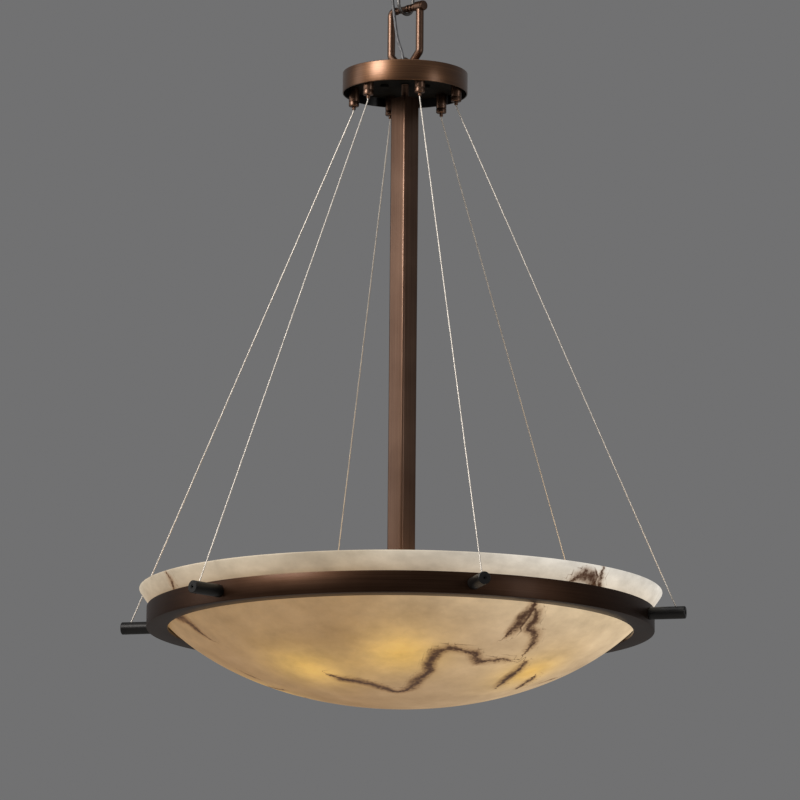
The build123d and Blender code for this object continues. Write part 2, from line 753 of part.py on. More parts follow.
# ---- supply cord: down from the canopy, past the loop and the shackle, into the hub
cord_route = [
    (-13.5, 15.5, canopy_floor + 0.5),
    (-13.5, 15.4, hub_top + 122.0),
    (-12.6, 13.9, hub_top + 108.0),
    (-11.2, 12.1, hub_top + 94.0),
    (-10.3, 10.3, hub_top + 79.0),
    (-10.5, 7.8, hub_top + 64.0),
    (-11.2, 4.6, hub_top + 50.0),
    (-12.0, 0.6, hub_top + 38.0),
    (-12.7, -5.4, hub_top + 26.0),
    (-13.0, -9.7, hub_top + 13.0),
    (-13.0, -9.9, hub_top - 0.5),
]


def midpoint(first, second):
    """The point halfway between two points."""
    return tuple((a + b) / 2 for a, b in zip(first, second))


def bend_radii(points):
    """0.45 of the shorter run over the tangent of half the turn, at each inner point."""
    radii = []
    for before, here, after in zip(points, points[1:], points[2:]):
        run_in = Vector(*here) - Vector(*before)
        run_out = Vector(*after) - Vector(*here)
        half_turn = radians(run_in.get_angle(run_out)) / 2
        radii.append(0.45 * min(run_in.length, run_out.length) / tan(half_turn))
    return radii


# It bends at each of the three swinging links, so it is made in three stretches that meet face to face.
loop_meeting = midpoint(cord_route[3], cord_route[4])
shackle_meeting = midpoint(cord_route[6], cord_route[7])
cord_stretches = {
    "supply_cord_upper": [*cord_route[:4], loop_meeting],
    "supply_cord_middle": [loop_meeting, *cord_route[4:7], shackle_meeting],
    "supply_cord_lower": [shackle_meeting, *cord_route[7:]],
}
for name, points in cord_stretches.items():
    radii = bend_radii(points)
    with BuildLine() as cord_line:
        FilletPolyline(*points, radius=radii)
    cord_wire = cord_line.wires()[0]
    with BuildPart() as cord:
        with BuildSketch(Plane(origin=cord_wire @ 0, z_dir=cord_wire % 0)):
            Circle(cord_radius)
        sweep(path=cord_wire)
    section_volume = pi * cord_radius**2 * cord_wire.length
    volume_share = round(cord.part.volume / section_volume, 4)
    print(name, "length", round(cord_wire.length, 1), "radii", [round(r) for r in radii], volume_share)
    save(cord.part, name)
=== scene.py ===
from math import cos, pi, radians, sin, sqrt

import bpy
import numpy as np
from mathutils import Matrix, Vector


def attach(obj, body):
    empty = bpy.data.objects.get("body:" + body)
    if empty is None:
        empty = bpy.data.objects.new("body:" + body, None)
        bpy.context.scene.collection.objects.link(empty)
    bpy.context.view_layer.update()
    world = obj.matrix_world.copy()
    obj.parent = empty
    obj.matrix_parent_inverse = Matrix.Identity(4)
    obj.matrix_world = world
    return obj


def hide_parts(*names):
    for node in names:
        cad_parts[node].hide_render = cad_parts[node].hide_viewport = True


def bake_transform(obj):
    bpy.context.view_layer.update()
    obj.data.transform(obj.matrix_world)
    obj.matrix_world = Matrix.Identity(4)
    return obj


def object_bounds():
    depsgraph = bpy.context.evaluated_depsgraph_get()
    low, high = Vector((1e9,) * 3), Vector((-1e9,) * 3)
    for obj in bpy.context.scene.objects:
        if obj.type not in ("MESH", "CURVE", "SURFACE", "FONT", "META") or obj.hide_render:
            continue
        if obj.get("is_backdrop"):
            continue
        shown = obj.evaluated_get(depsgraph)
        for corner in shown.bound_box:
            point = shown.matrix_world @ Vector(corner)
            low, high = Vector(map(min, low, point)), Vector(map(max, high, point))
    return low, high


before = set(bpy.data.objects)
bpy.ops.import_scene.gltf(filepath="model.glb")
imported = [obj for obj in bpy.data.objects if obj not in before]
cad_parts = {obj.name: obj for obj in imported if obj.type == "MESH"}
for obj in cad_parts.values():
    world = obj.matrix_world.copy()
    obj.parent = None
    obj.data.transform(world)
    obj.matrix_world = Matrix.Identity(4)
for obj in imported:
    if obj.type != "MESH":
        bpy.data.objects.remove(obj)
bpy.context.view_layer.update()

# ---- Camera -------------------------------------------------------------------------------------
# It stands low and far off, with a long lens, and looks a little upwards at the bowl and the hub.
# Its place, turn and lens were fitted to the ellipses of the ring and the hub.
camera_away = 7.343
camera_level = -1.9438
camera_turn = radians(-46.0)
camera_yaw = -0.0004
camera_pitch = 0.1855
camera_roll = 0.0086
camera_lens = 278.28
camera_sensor = 36.0
camera_near = 0.05
camera_far = 200.0

towards_camera = Vector((sin(camera_turn), -cos(camera_turn), 0))
viewer_right = Vector((cos(camera_turn), sin(camera_turn), 0))
heading = viewer_right * sin(camera_yaw) - towards_camera * cos(camera_yaw)
level_right = viewer_right * cos(camera_yaw) + towards_camera * sin(camera_yaw)
ahead = heading * cos(camera_pitch) + Vector((0, 0, sin(camera_pitch)))
upwards = level_right.cross(ahead)
camera_right = level_right * cos(camera_roll) + upwards * sin(camera_roll)
camera_up = upwards * cos(camera_roll) - level_right * sin(camera_roll)
camera_data = bpy.data.cameras.new("camera")
camera_data.lens = camera_lens
camera_data.sensor_width = camera_sensor
camera_data.clip_start = camera_near
camera_data.clip_end = camera_far
camera = bpy.data.objects.new("camera", camera_data)
bpy.context.scene.collection.objects.link(camera)
camera_place = towards_camera * camera_away + Vector((0, 0, camera_level))
camera.matrix_world = Matrix.Translation(camera_place) @ Matrix(
    (camera_right, camera_up, -ahead)
).transposed().to_4x4()
bpy.context.scene.camera = camera

# ---- Supply cord --------------------------------------------------------------------------------
# A round grey flex from the canopy's bush, past the loop and the shackle, into the hub's bush.
# It is made in three fixed stretches that meet end to end.
cord_diameter = 0.0036
cord_sides = 20
cord_steps = 40
cord_twist_pitch = 0.019
cord_stretches = {
    "supply_cord_upper": [
        (-0.0135, 0.0155, -0.0249),
        (-0.0135, 0.0154, -0.0388),
        (-0.0126, 0.0139, -0.0528),
        (-0.0112, 0.0121, -0.0668),
        (-0.01075, 0.0112, -0.0743),
    ],
    "supply_cord_middle": [
        (-0.01075, 0.0112, -0.0743),
        (-0.0103, 0.0103, -0.0818),
        (-0.0105, 0.0078, -0.0968),
        (-0.0112, 0.0046, -0.1108),
        (-0.0116, 0.0026, -0.1168),
    ],
    "supply_cord_lower": [
        (-0.0116, 0.0026, -0.1168),
        (-0.0120, 0.0006, -0.1228),
        (-0.0127, -0.0054, -0.1348),
        (-0.0130, -0.0097, -0.1478),
        (-0.0130, -0.0099, -0.1613),
    ],
}


def line_through(points, steps):
    """The points of the smooth spline that a route's points control."""
    curve = bpy.data.curves.new("route", "CURVE")
    curve.dimensions = "3D"
    spline = curve.splines.new("NURBS")
    spline.points.add(len(points) - 1)
    for control, place in zip(spline.points, points):
        control.co = (*place, 1.0)
    spline.order_u = 3
    spline.use_endpoint_u = True
    spline.resolution_u = steps
    curve.resolution_u = steps
    route = bpy.data.objects.new("route", curve)
    mesh = bpy.data.meshes.new_from_object(route)
    line = [vertex.co.copy() for vertex in mesh.vertices]
    bpy.data.objects.remove(route)
    bpy.data.meshes.remove(mesh)
    bpy.data.curves.remove(curve)
    return line


def tube_along(name, line, radius, sides, lobes=0, lobe_depth=0.0, lobe_pitch=1.0):
    """A closed tube round a line, plain or with twisting strands, with its length along it as V."""
    corners, distance, travelled = [], [], 0.0
    direction = (line[1] - line[0]).normalized()
    side = direction.orthogonal().normalized()
    for number, place in enumerate(line):
        before = line[max(number - 1, 0)]
        after = line[min(number + 1, len(line) - 1)]
        direction = (after - before).normalized()
        side = (side - direction * side.dot(direction)).normalized()
        travelled += (place - before).length
        distance.append(travelled)
        for step in range(sides):
            turn = 2 * pi * step / sides
            reach = radius * (1 - lobe_depth * abs(sin(lobes * turn / 2)) ** 3)
            spin = turn + 2 * pi * travelled / lobe_pitch
            corners.append(place + reach * (side * cos(spin) + direction.cross(side) * sin(spin)))
    faces = [
        (n * sides + k, n * sides + (k + 1) % sides, (n + 1) * sides + (k + 1) % sides, (n + 1) * sides + k)
        for n in range(len(line) - 1)
        for k in range(sides)
    ]
    last = (len(line) - 1) * sides
    faces += [tuple(range(sides))[::-1], tuple(range(last, last + sides))]
    mesh = bpy.data.meshes.new(name)
    mesh.from_pydata(corners, [], faces)
    wrap = mesh.uv_layers.new(name="UVMap")
    for face in mesh.polygons:
        for loop in face.loop_indices:
            corner = mesh.loops[loop].vertex_index
            around = corner % sides
            if around == 0 and any(mesh.loops[n].vertex_index % sides > sides / 2 for n in face.loop_indices):
                around = sides
            wrap.data[loop].uv = (around / sides, distance[corner // sides])
        face.use_smooth = len(face.vertices) == 4
    piece = bpy.data.objects.new(name, mesh)
    bpy.context.scene.collection.objects.link(piece)
    return piece


def new_finish(name):
    """An empty node material and its nodes, links and shader."""
    material = bpy.data.materials.new(name)
    material.use_nodes = True
    return material, material.node_tree.nodes, material.node_tree.links, material.node_tree.nodes["Principled BSDF"]


def noise(nodes, links, place, scale, stretch=(1, 1, 1), detail=4.0, roughness=0.55):
    """Noise on a place output, stretched by a mapping."""
    mapping = nodes.new("ShaderNodeMapping")
    mapping.inputs["Scale"].default_value = stretch
    links.new(place, mapping.inputs["Vector"])
    texture = nodes.new("ShaderNodeTexNoise")
    texture.inputs["Scale"].default_value = scale
    texture.inputs["Detail"].default_value = detail
    texture.inputs["Roughness"].default_value = roughness
    links.new(mapping.outputs["Vector"], texture.inputs["Vector"])
    return texture.outputs["Fac"]


def colours(nodes, links, factor, stops):
    """A colour ramp: stops are (position, colour)."""
    ramp = nodes.new("ShaderNodeValToRGB")
    while len(ramp.color_ramp.elements) < len(stops):
        ramp.color_ramp.elements.new(0.5)
    for element, (position, colour) in zip(ramp.color_ramp.elements, stops):
        element.position = position
        element.color = (*colour, 1.0)
    links.new(factor, ramp.inputs["Fac"])
    return ramp.outputs["Color"]


def spread(nodes, links, value, low, high):
    """A value from 0 to 1 brought to a range."""
    remap = nodes.new("ShaderNodeMapRange")
    remap.inputs["To Min"].default_value = low
    remap.inputs["To Max"].default_value = high
    links.new(value, remap.inputs["Value"])
    return remap.outputs["Result"]


def raise_surface(nodes, links, shader, height, distance, strength=1.0):
    """A bump on a shader."""
    bump = nodes.new("ShaderNodeBump")
    bump.inputs["Distance"].default_value = distance
    bump.inputs["Strength"].default_value = strength
    links.new(height, bump.inputs["Height"])
    links.new(bump.outputs["Normal"], shader.inputs["Normal"])


def flex_finish():
    """Grey flex: the twisted cores show faintly through a satin jacket."""
    material, nodes, links, shader = new_finish("grey_flex")
    place = nodes.new("ShaderNodeTexCoord")
    wave = nodes.new("ShaderNodeTexWave")
    wave.bands_direction = "DIAGONAL"
    wave.inputs["Scale"].default_value = 1.0
    mapping = nodes.new("ShaderNodeMapping")
    mapping.inputs["Scale"].default_value = (1.0, 1.0 / cord_twist_pitch, 1.0)
    links.new(place.outputs["UV"], mapping.inputs["Vector"])
    links.new(mapping.outputs["Vector"], wave.inputs["Vector"])
    cores = colours(nodes, links, wave.outputs["Fac"], [(0.2, (0.1, 0.102, 0.108)), (0.8, (0.17, 0.172, 0.18))])
    links.new(cores, shader.inputs["Base Color"])
    rough = noise(nodes, links, place.outputs["Object"], 900)
    links.new(spread(nodes, links, rough, 0.34, 0.5), shader.inputs["Roughness"])
    raise_surface(nodes, links, shader, rough, 0.00004)
    return material


grey_flex = flex_finish()
for name, route in cord_stretches.items():
    line = line_through(route, cord_steps)
    flex = tube_along(name + "_flex", line, cord_diameter / 2, cord_sides)
    flex.data.materials.append(grey_flex)
    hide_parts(name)
    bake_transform(flex)

# ---- Suspension cables --------------------------------------------------------------------------
# Six taut wire ropes of plated steel. Each stands straight in its gripper, bends just below it, and
# runs to the hole across its ring pin. The strands twist round the rope.
rope_diameter = 0.0018
rope_pitch = 0.0115
rope_strands = 6
rope_sides = 24
rope_strand_depth = 0.12
rope_steps = 330
gripper_circle = 0.0642
rope_top = -0.1652
rope_mouth = -0.196
rope_bend = -0.2046
rope_anchor = 0.34
ring_pin_level = -0.8351
rope_tail = 0.004
cable_count = 6
rope_after_bend = 6 * rope_diameter
rope_slope = (rope_anchor - gripper_circle) / (rope_bend - ring_pin_level)
rope_step_down = rope_after_bend / sqrt(1 + rope_slope**2)
rope_profile = [
    (gripper_circle, rope_top),
    (gripper_circle, rope_mouth),
    (gripper_circle, rope_bend),
    (gripper_circle + rope_slope * rope_step_down, rope_bend - rope_step_down),
    (rope_anchor + rope_slope * rope_tail, ring_pin_level - rope_tail),
]


def out_along(turn, reach, level=0.0):
    """A point on a spoke."""
    return Vector((reach * cos(turn), reach * sin(turn), level))


def wire_rope_finish():
    """Bright drawn wire, greyer between the strands and a little dull along its length."""
    material, nodes, links, shader = new_finish("wire_rope")
    place = nodes.new("ShaderNodeTexCoord")
    dull = noise(nodes, links, place.outputs["Object"], 55, stretch=(1, 1, 3))
    steel = colours(nodes, links, dull, [(0.3, (0.66, 0.61, 0.55)), (0.7, (0.82, 0.77, 0.7))])
    links.new(steel, shader.inputs["Base Color"])
    shader.inputs["Metallic"].default_value = 1.0
    fine = noise(nodes, links, place.outputs["Object"], 2600)
    links.new(spread(nodes, links, fine, 0.42, 0.6), shader.inputs["Roughness"])
    return material


wire_rope = wire_rope_finish()
for number in range(1, cable_count + 1):
    turn = 2 * pi * (number - 1) / cable_count
    route = [out_along(turn, reach, level) for reach, level in rope_profile]
    line = line_through(route, rope_steps)
    rope = tube_along(f"wire_rope_{number}", line, rope_diameter / 2, rope_sides, rope_strands,
                      rope_strand_depth, rope_pitch)
    rope.data.materials.append(wire_rope)
    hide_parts(f"suspension_cable_{number}")
    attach(rope, "pendant")

# ---- Ceiling fitting ----------------------------------------------------------------------------
# A zinc-plated strap, threaded pipe and lock nut sit inside a spun canopy with a satin bronze
# lacquer. A collar with a closed ring screws on below it, and the cord leaves through a black bush.
turned_sides = 160


def blank():
    """Leaves nothing selected and no edit mode."""
    if bpy.context.object and bpy.context.object.mode != "OBJECT":
        bpy.ops.object.mode_set(mode="OBJECT")
    bpy.ops.object.select_all(action="DESELECT")


def only(piece):
    """Makes a piece the only one that is selected."""
    blank()
    piece.select_set(True)
    bpy.context.view_layer.objects.active = piece


def turned(name, outline, sides=turned_sides, closed=False):
    """Turns a piece on the axis: a ring is extruded along an outline of (radius, level) points."""
    blank()
    radius, level = outline[0]
    bpy.ops.mesh.primitive_circle_add(vertices=sides, radius=max(radius, 1e-5), location=(0, 0, level))
    piece = bpy.context.object
    piece.name = name
    piece.data.name = name
    bpy.ops.object.transform_apply(location=True, rotation=True, scale=True)
    bpy.ops.object.mode_set(mode="EDIT")
    bpy.ops.mesh.select_mode(type="VERT")
    bpy.ops.mesh.select_all(action="SELECT")
    for next_radius, next_level in outline[1:]:
        next_radius = max(next_radius, 1e-5)
        bpy.ops.mesh.extrude_region_move(TRANSFORM_OT_translate={"value": (0, 0, next_level - level)})
        share = next_radius / max(radius, 1e-5)
        bpy.ops.transform.resize(value=(share, share, 1), center_override=(0, 0, next_level))
        radius, level = next_radius, next_level
    bpy.ops.mesh.select_all(action="SELECT")
    bpy.ops.mesh.remove_doubles(threshold=2.5e-5)
    if not closed:
        bpy.ops.mesh.select_all(action="DESELECT")
        bpy.ops.mesh.select_mode(type="EDGE")
        bpy.ops.mesh.select_non_manifold()
        bpy.ops.mesh.fill()
    bpy.ops.mesh.select_all(action="SELECT")
    bpy.ops.mesh.normals_make_consistent(inside=False)
    bpy.ops.object.mode_set(mode="OBJECT")
    return piece


def soften(piece, width, segments=2, angle=30.0):
    """Rounds a piece's sharp edges and shades it smooth between them."""
    only(piece)
    bpy.ops.object.modifier_add(type="BEVEL")
    bevel = piece.modifiers[-1]
    bevel.width = width
    bevel.segments = segments
    bevel.limit_method = "ANGLE"
    bevel.angle_limit = radians(angle)
    bpy.ops.object.modifier_apply(modifier=bevel.name)
    bpy.ops.object.shade_smooth_by_angle(angle=radians(35))
    return piece


def place_piece(piece, body, slot_name, material, *nodes):
    """Gives a finished piece its finish and its body, and hides the nodes that it stands for."""
    only(piece)
    bpy.ops.object.transform_apply(location=True, rotation=True, scale=True)
    piece.data.materials.clear()
    piece.data.materials.append(material)
    if nodes:
        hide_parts(*nodes)
    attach(piece, body)
    return piece


def dress(material, *names):
    """Gives CAD nodes a finish."""
    for name in names:
        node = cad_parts[name]
        node.data.materials.clear()
        node.data.materials.append(material)


def plated_finish(name, dark, light, rough_low, rough_high, grain=420):
    """Zinc-plated steel: a fine spangle over a slightly uneven grey."""
    material, nodes, links, shader = new_finish(name)
    place = nodes.new("ShaderNodeTexCoord")
    clouds = noise(nodes, links, place.outputs["Object"], 60, detail=6.0)
    links.new(colours(nodes, links, clouds, [(0.3, dark), (0.72, light)]), shader.inputs["Base Color"])
    shader.inputs["Metallic"].default_value = 1.0
    fine = noise(nodes, links, place.outputs["Object"], grain)
    links.new(spread(nodes, links, fine, rough_low, rough_high), shader.inputs["Roughness"])
    raise_surface(nodes, links, shader, fine, 0.00003)
    return material


def bronze_finish(name, stretch, dark=(0.085, 0.042, 0.025), light=(0.215, 0.127, 0.085), rough=(0.34, 0.46),
                  coat=0.25):
    """Satin bronze lacquer over brushed metal: fine streaks along the brushing, and broad uneven toning."""
    material, nodes, links, shader = new_finish(name)
    place = nodes.new("ShaderNodeTexCoord")
    streaks = noise(nodes, links, place.outputs["Object"], 1.0, stretch=stretch, detail=5.0, roughness=0.65)
    toning = noise(nodes, links, place.outputs["Object"], 14, detail=3.0)
    mix = nodes.new("ShaderNodeMix")
    mix.inputs["Factor"].default_value = 0.4
    links.new(streaks, mix.inputs["A"])
    links.new(toning, mix.inputs["B"])
    tone = colours(nodes, links, mix.outputs["Result"], [(0.28, dark), (0.74, light)])
    links.new(tone, shader.inputs["Base Color"])
    shader.inputs["Metallic"].default_value = 1.0
    shader.inputs["Coat Weight"].default_value = coat
    shader.inputs["Coat Roughness"].default_value = 0.22
    links.new(spread(nodes, links, streaks, *rough), shader.inputs["Roughness"])
    raise_surface(nodes, links, shader, streaks, 0.00002, 0.6)
    return material


def moulded_finish(name, dark, light, rough=(0.45, 0.6), grain=700, metallic=0.0, shine=0.5):
    """Plain moulded or painted surface with a fine even texture."""
    material, nodes, links, shader = new_finish(name)
    place = nodes.new("ShaderNodeTexCoord")
    fine = noise(nodes, links, place.outputs["Object"], grain)
    clouds = noise(nodes, links, place.outputs["Object"], 45)
    links.new(colours(nodes, links, clouds, [(0.3, dark), (0.7, light)]), shader.inputs["Base Color"])
    shader.inputs["Metallic"].default_value = metallic
    shader.inputs["Specular IOR Level"].default_value = shine
    links.new(spread(nodes, links, fine, *rough), shader.inputs["Roughness"])
    raise_surface(nodes, links, shader, fine, 0.00005)
    return material


zinc = plated_finish("zinc_plate", (0.36, 0.36, 0.37), (0.55, 0.55, 0.54), 0.32, 0.5)
bronze_round = bronze_finish("bronze_brushed_round", (6, 6, 1500))
bronze_turned = bronze_finish("bronze_turned", (30, 30, 1100))
black_bush = moulded_finish("black_bush", (0.016, 0.016, 0.017), (0.028, 0.027, 0.027))

dress(zinc, "mounting_strap", "canopy_nipple", "nipple_locknut")
dress(black_bush, "canopy_cord_bush")
dress(bronze_turned, "canopy_loop")
dress(bronze_round, "canopy_shell")

# ---- Hanging loop -------------------------------------------------------------------------------
# A long closed ring of plated steel rod that joins the canopy's ring to the shackle's pin. It is bent
# from one rod and welded shut.
loop_steel = plated_finish("loop_steel", (0.17, 0.165, 0.16), (0.25, 0.24, 0.23), 0.34, 0.5, grain=900)
dress(loop_steel, "hanging_loop")

# ---- Shackle and its pin ------------------------------------------------------------------------
# A bent bronze bar with a screw pin across its top. The pin is turned with square ribs, a plain seat
# for the loop, a threaded tip and a low head that stands just proud of the near eye.
dress(bronze_turned, "shackle_bow")
bronze_pin = bronze_finish("bronze_pin", (30, 1100, 30))
pin_level = -0.0798
pin_core, pin_rib = 0.0031, 0.0046
pin_far_core, pin_seat = 0.0028, 0.004
pin_tip = 0.003
pin_stub_face, pin_tip_end = -0.015, -0.022
pin_seat_half = 0.0028
pin_rib_width, pin_rib_pitch = 0.0032, 0.0053
pin_eye_inner, pin_eye_outer = 0.0188, 0.0292
pin_head, pin_head_end, pin_head_edge = 0.0058, 0.0318, 0.0006

pin_gap = pin_rib_pitch - pin_rib_width
pin_first_rib = pin_seat_half + pin_rib_width


def groove(core, rib, start, width):
    """The outline points of a square groove between two ribs."""
    return [(rib, start), (core, start), (core, start + width), (rib, start + width)]


pin_outline = [
    (0.0, pin_tip_end),
    (pin_tip, pin_tip_end),
    (pin_tip, pin_stub_face),
    (pin_far_core, pin_stub_face),
    (pin_far_core, -pin_first_rib - pin_rib_pitch),
    (pin_seat, -pin_first_rib - pin_rib_pitch),
    *groove(pin_far_core, pin_seat, -pin_first_rib - pin_gap, pin_gap),
    (pin_seat, pin_seat_half),
    (pin_rib, pin_seat_half),
    *groove(pin_core, pin_rib, pin_first_rib, pin_gap),
    *groove(pin_core, pin_rib, pin_first_rib + pin_rib_pitch, pin_gap),
    (pin_rib, pin_first_rib + 2 * pin_rib_pitch),
    (pin_core, pin_first_rib + 2 * pin_rib_pitch),
    (pin_core, pin_eye_inner),
    (pin_rib, pin_eye_inner),
    (pin_rib, pin_eye_outer),
    (pin_head, pin_eye_outer),
    (pin_head, pin_head_end - pin_head_edge),
    (pin_head - pin_head_edge, pin_head_end),
    (0.0, pin_head_end),
]
screw_pin = turned("screw_pin", pin_outline, sides=64, closed=True)
soften(screw_pin, 0.00025, 2)
screw_pin.rotation_euler = (pi / 2, 0, 0)
screw_pin.location = (0, 0, pin_level)
place_piece(screw_pin, "shackle_pin", "bronze", bronze_pin, "shackle_pin")

# ---- Hub staple ---------------------------------------------------------------------------------
# A bronze U of round rod on the hub that the shackle's bottom bar hangs in. Its legs go through the
# hub's top, with a nut on each inside.
dress(bronze_turned, "hub_staple")
dress(zinc, "staple_nuts")

# ---- Hub ----------------------------------------------------------------------------------------
# A spun drum in brushed amber bronze lacquer, open below and near-black inside as painted shade in the
# recess. Its top is drilled for the staple's legs and for the cord's bush.
hub_radius = 0.0762
hub_top = -0.1608
hub_bottom = -0.1862
hub_sheet = 0.0015
staple_reach = 0.009
staple_hole = 0.0026
hub_cord_place = (-0.013, -0.0099)
hub_cord_hole = 0.0041
hub_edge = 0.0007
drill_depth = 0.01


def drill(piece, centre, radius, depth, direction=(0, 0, 1), sides=32):
    """Cuts a round hole through a piece."""
    blank()
    bpy.ops.mesh.primitive_cylinder_add(vertices=sides, radius=radius, depth=depth, location=centre)
    cutter = bpy.context.object
    cutter.rotation_mode = "QUATERNION"
    cutter.rotation_quaternion = Vector(direction).to_track_quat("Z", "Y")
    only(piece)
    bpy.ops.object.modifier_add(type="BOOLEAN")
    cut = piece.modifiers[-1]
    cut.operation = "DIFFERENCE"
    cut.solver = "EXACT"
    cut.object = cutter
    bpy.ops.object.modifier_apply(modifier=cut.name)
    bpy.data.objects.remove(cutter)


def reckon(nodes, links, operation, first, second=None):
    """One sum of two values, each an output or a number."""
    sum_node = nodes.new("ShaderNodeMath")
    sum_node.operation = operation
    for socket, value in zip(sum_node.inputs, (first, second)):
        if isinstance(value, (int, float)):
            socket.default_value = value
        elif value is not None:
            links.new(value, socket)
    return sum_node.outputs["Value"]


def mixed(nodes, links, factor, first, second, blend="MIX"):
    """Two colours mixed by a factor, each an output or a colour."""
    mix = nodes.new("ShaderNodeMix")
    mix.data_type = "RGBA"
    mix.blend_type = blend
    sockets = [socket for socket in mix.inputs if socket.type == "RGBA"]
    for socket, value in zip(sockets, (first, second)):
        if isinstance(value, tuple):
            socket.default_value = (*value, 1.0)
        else:
            links.new(value, socket)
    if isinstance(factor, (int, float)):
        mix.inputs[0].default_value = factor
    else:
        links.new(factor, mix.inputs[0])
    return next(socket for socket in mix.outputs if socket.type == "RGBA")


def hub_finish():
    """Amber bronze lacquer, brushed round, over a drum that is near-black inside as painted shade."""
    material, nodes, links, shader = new_finish("hub_bronze")
    place = nodes.new("ShaderNodeTexCoord").outputs["Object"]
    streaks = noise(nodes, links, place, 1.0, stretch=(6, 6, 1500), detail=5.0, roughness=0.65)
    tone = colours(nodes, links, streaks, [(0.28, (0.085, 0.031, 0.009)), (0.74, (0.2, 0.092, 0.037))])
    spoke_length = nodes.new("ShaderNodeVectorMath")
    spoke_length.operation = "LENGTH"
    flat = nodes.new("ShaderNodeVectorMath")
    flat.operation = "MULTIPLY"
    flat.inputs[1].default_value = (1, 1, 0)
    links.new(place, flat.inputs[0])
    links.new(flat.outputs["Vector"], spoke_length.inputs[0])
    below_top = nodes.new("ShaderNodeSeparateXYZ")
    links.new(place, below_top.inputs["Vector"])
    # Painted shade: inside the drum's wall and below its top the colour is near-black, for the dark recess.
    inside = reckon(nodes, links, "LESS_THAN", spoke_length.outputs["Value"], hub_radius - hub_sheet / 2)
    under = reckon(nodes, links, "LESS_THAN", below_top.outputs["Z"], hub_top - hub_sheet / 2)
    inside = reckon(nodes, links, "MULTIPLY", inside, under)
    links.new(mixed(nodes, links, inside, tone, (0.006, 0.005, 0.005)), shader.inputs["Base Color"])
    shader.inputs["Metallic"].default_value = 1.0
    shader.inputs["Coat Weight"].default_value = 0.8
    shader.inputs["Coat Roughness"].default_value = 0.3
    links.new(spread(nodes, links, streaks, 0.32, 0.44), shader.inputs["Roughness"])
    raise_surface(nodes, links, shader, streaks, 0.00002, 0.6)
    return material


hub_drum = turned(
    "hub_drum",
    [
        (0.0005, hub_top),
        (hub_radius, hub_top),
        (hub_radius, hub_bottom),
        (hub_radius - hub_sheet, hub_bottom),
        (hub_radius - hub_sheet, hub_top - hub_sheet),
        (0.0005, hub_top - hub_sheet),
    ],
)
soften(hub_drum, hub_edge, 3)
for side in (-1, 1):
    drill(hub_drum, (side * staple_reach, 0, hub_top), staple_hole, drill_depth)
drill(hub_drum, (*hub_cord_place, hub_top), hub_cord_hole, drill_depth)
place_piece(hub_drum, "pendant", "bronze", hub_finish(), "hub_shell")
dress(black_bush, "hub_cord_bush")

# ---- Hub plate ----------------------------------------------------------------------------------
# A steel disc up inside the drum that carries everything below, near-black as painted shade for the dark
# recess. It hangs on two studs, each with a low turned knob under the plate, near-black too.
plate_bottom, plate_top = -0.1752, -0.1722
plate_gap = 0.0003
pipe_radius = 0.0049
stud_radius = 0.002
stud_circle = 0.025
stud_turn = radians(135)
stud_foot = -0.1772
knob_radius, knob_height, knob_edge = 0.005, 0.0035, 0.0006
gripper_stud = 0.004


def copies(piece, reach, turns):
    """A piece copied onto spokes, each copy with its own mesh, and the first piece taken away."""
    made = []
    for number, turn in enumerate(turns, start=1):
        copy = piece.copy()
        copy.data = piece.data.copy()
        copy.name = copy.data.name = f"{piece.name}_{number}"
        copy.location = out_along(turn, reach)
        bpy.context.scene.collection.objects.link(copy)
        made.append(copy)
    bpy.data.objects.remove(piece)
    return made


def joined(name, pieces):
    """Copies made into one piece."""
    blank()
    for piece in pieces:
        piece.select_set(True)
    bpy.context.view_layer.objects.active = pieces[0]
    bpy.ops.object.join()
    pieces[0].name = pieces[0].data.name = name
    return pieces[0]


def hex_nut(name, flats, height, hole, base):
    """A hexagon nut on the axis with bevelled corners and a round hole."""
    blank()
    middle_level = base + height / 2
    bpy.ops.mesh.primitive_cylinder_add(
        vertices=6, radius=flats / sqrt(3), depth=height, location=(0, 0, middle_level)
    )
    nut = bpy.context.object
    nut.name = nut.data.name = name
    bpy.ops.object.transform_apply(location=True, rotation=True, scale=True)
    soften(nut, flats / 30, 2)
    drill(nut, (0, 0, middle_level), hole, 2 * height)
    return nut


spokes = [2 * pi * number / cable_count for number in range(cable_count)]
stud_turns = [stud_turn, stud_turn + pi]
# Near-black with almost no shine: painted shade for the dark recess, on the plate and on its knobs.
recess_shade_black = moulded_finish("recess_shade_black", (0.005, 0.0045, 0.004), (0.01, 0.009, 0.008), rough=(0.6, 0.75),
                             shine=0.06)
plate_rim = hub_radius - hub_sheet - plate_gap
recess_plate = turned(
    "recess_plate",
    [
        (pipe_radius + plate_gap, plate_bottom),
        (plate_rim, plate_bottom),
        (plate_rim, plate_top),
        (pipe_radius + plate_gap, plate_top),
        (pipe_radius + plate_gap, plate_bottom),
    ],
    closed=True,
)
soften(recess_plate, 0.0003, 2)
for turn in spokes:
    drill(recess_plate, out_along(turn, gripper_circle, plate_top), gripper_stud + plate_gap, drill_depth)
for turn in stud_turns:
    drill(recess_plate, out_along(turn, stud_circle, plate_top), stud_radius + plate_gap, drill_depth)
place_piece(recess_plate, "pendant", "black", recess_shade_black, "hub_plate")

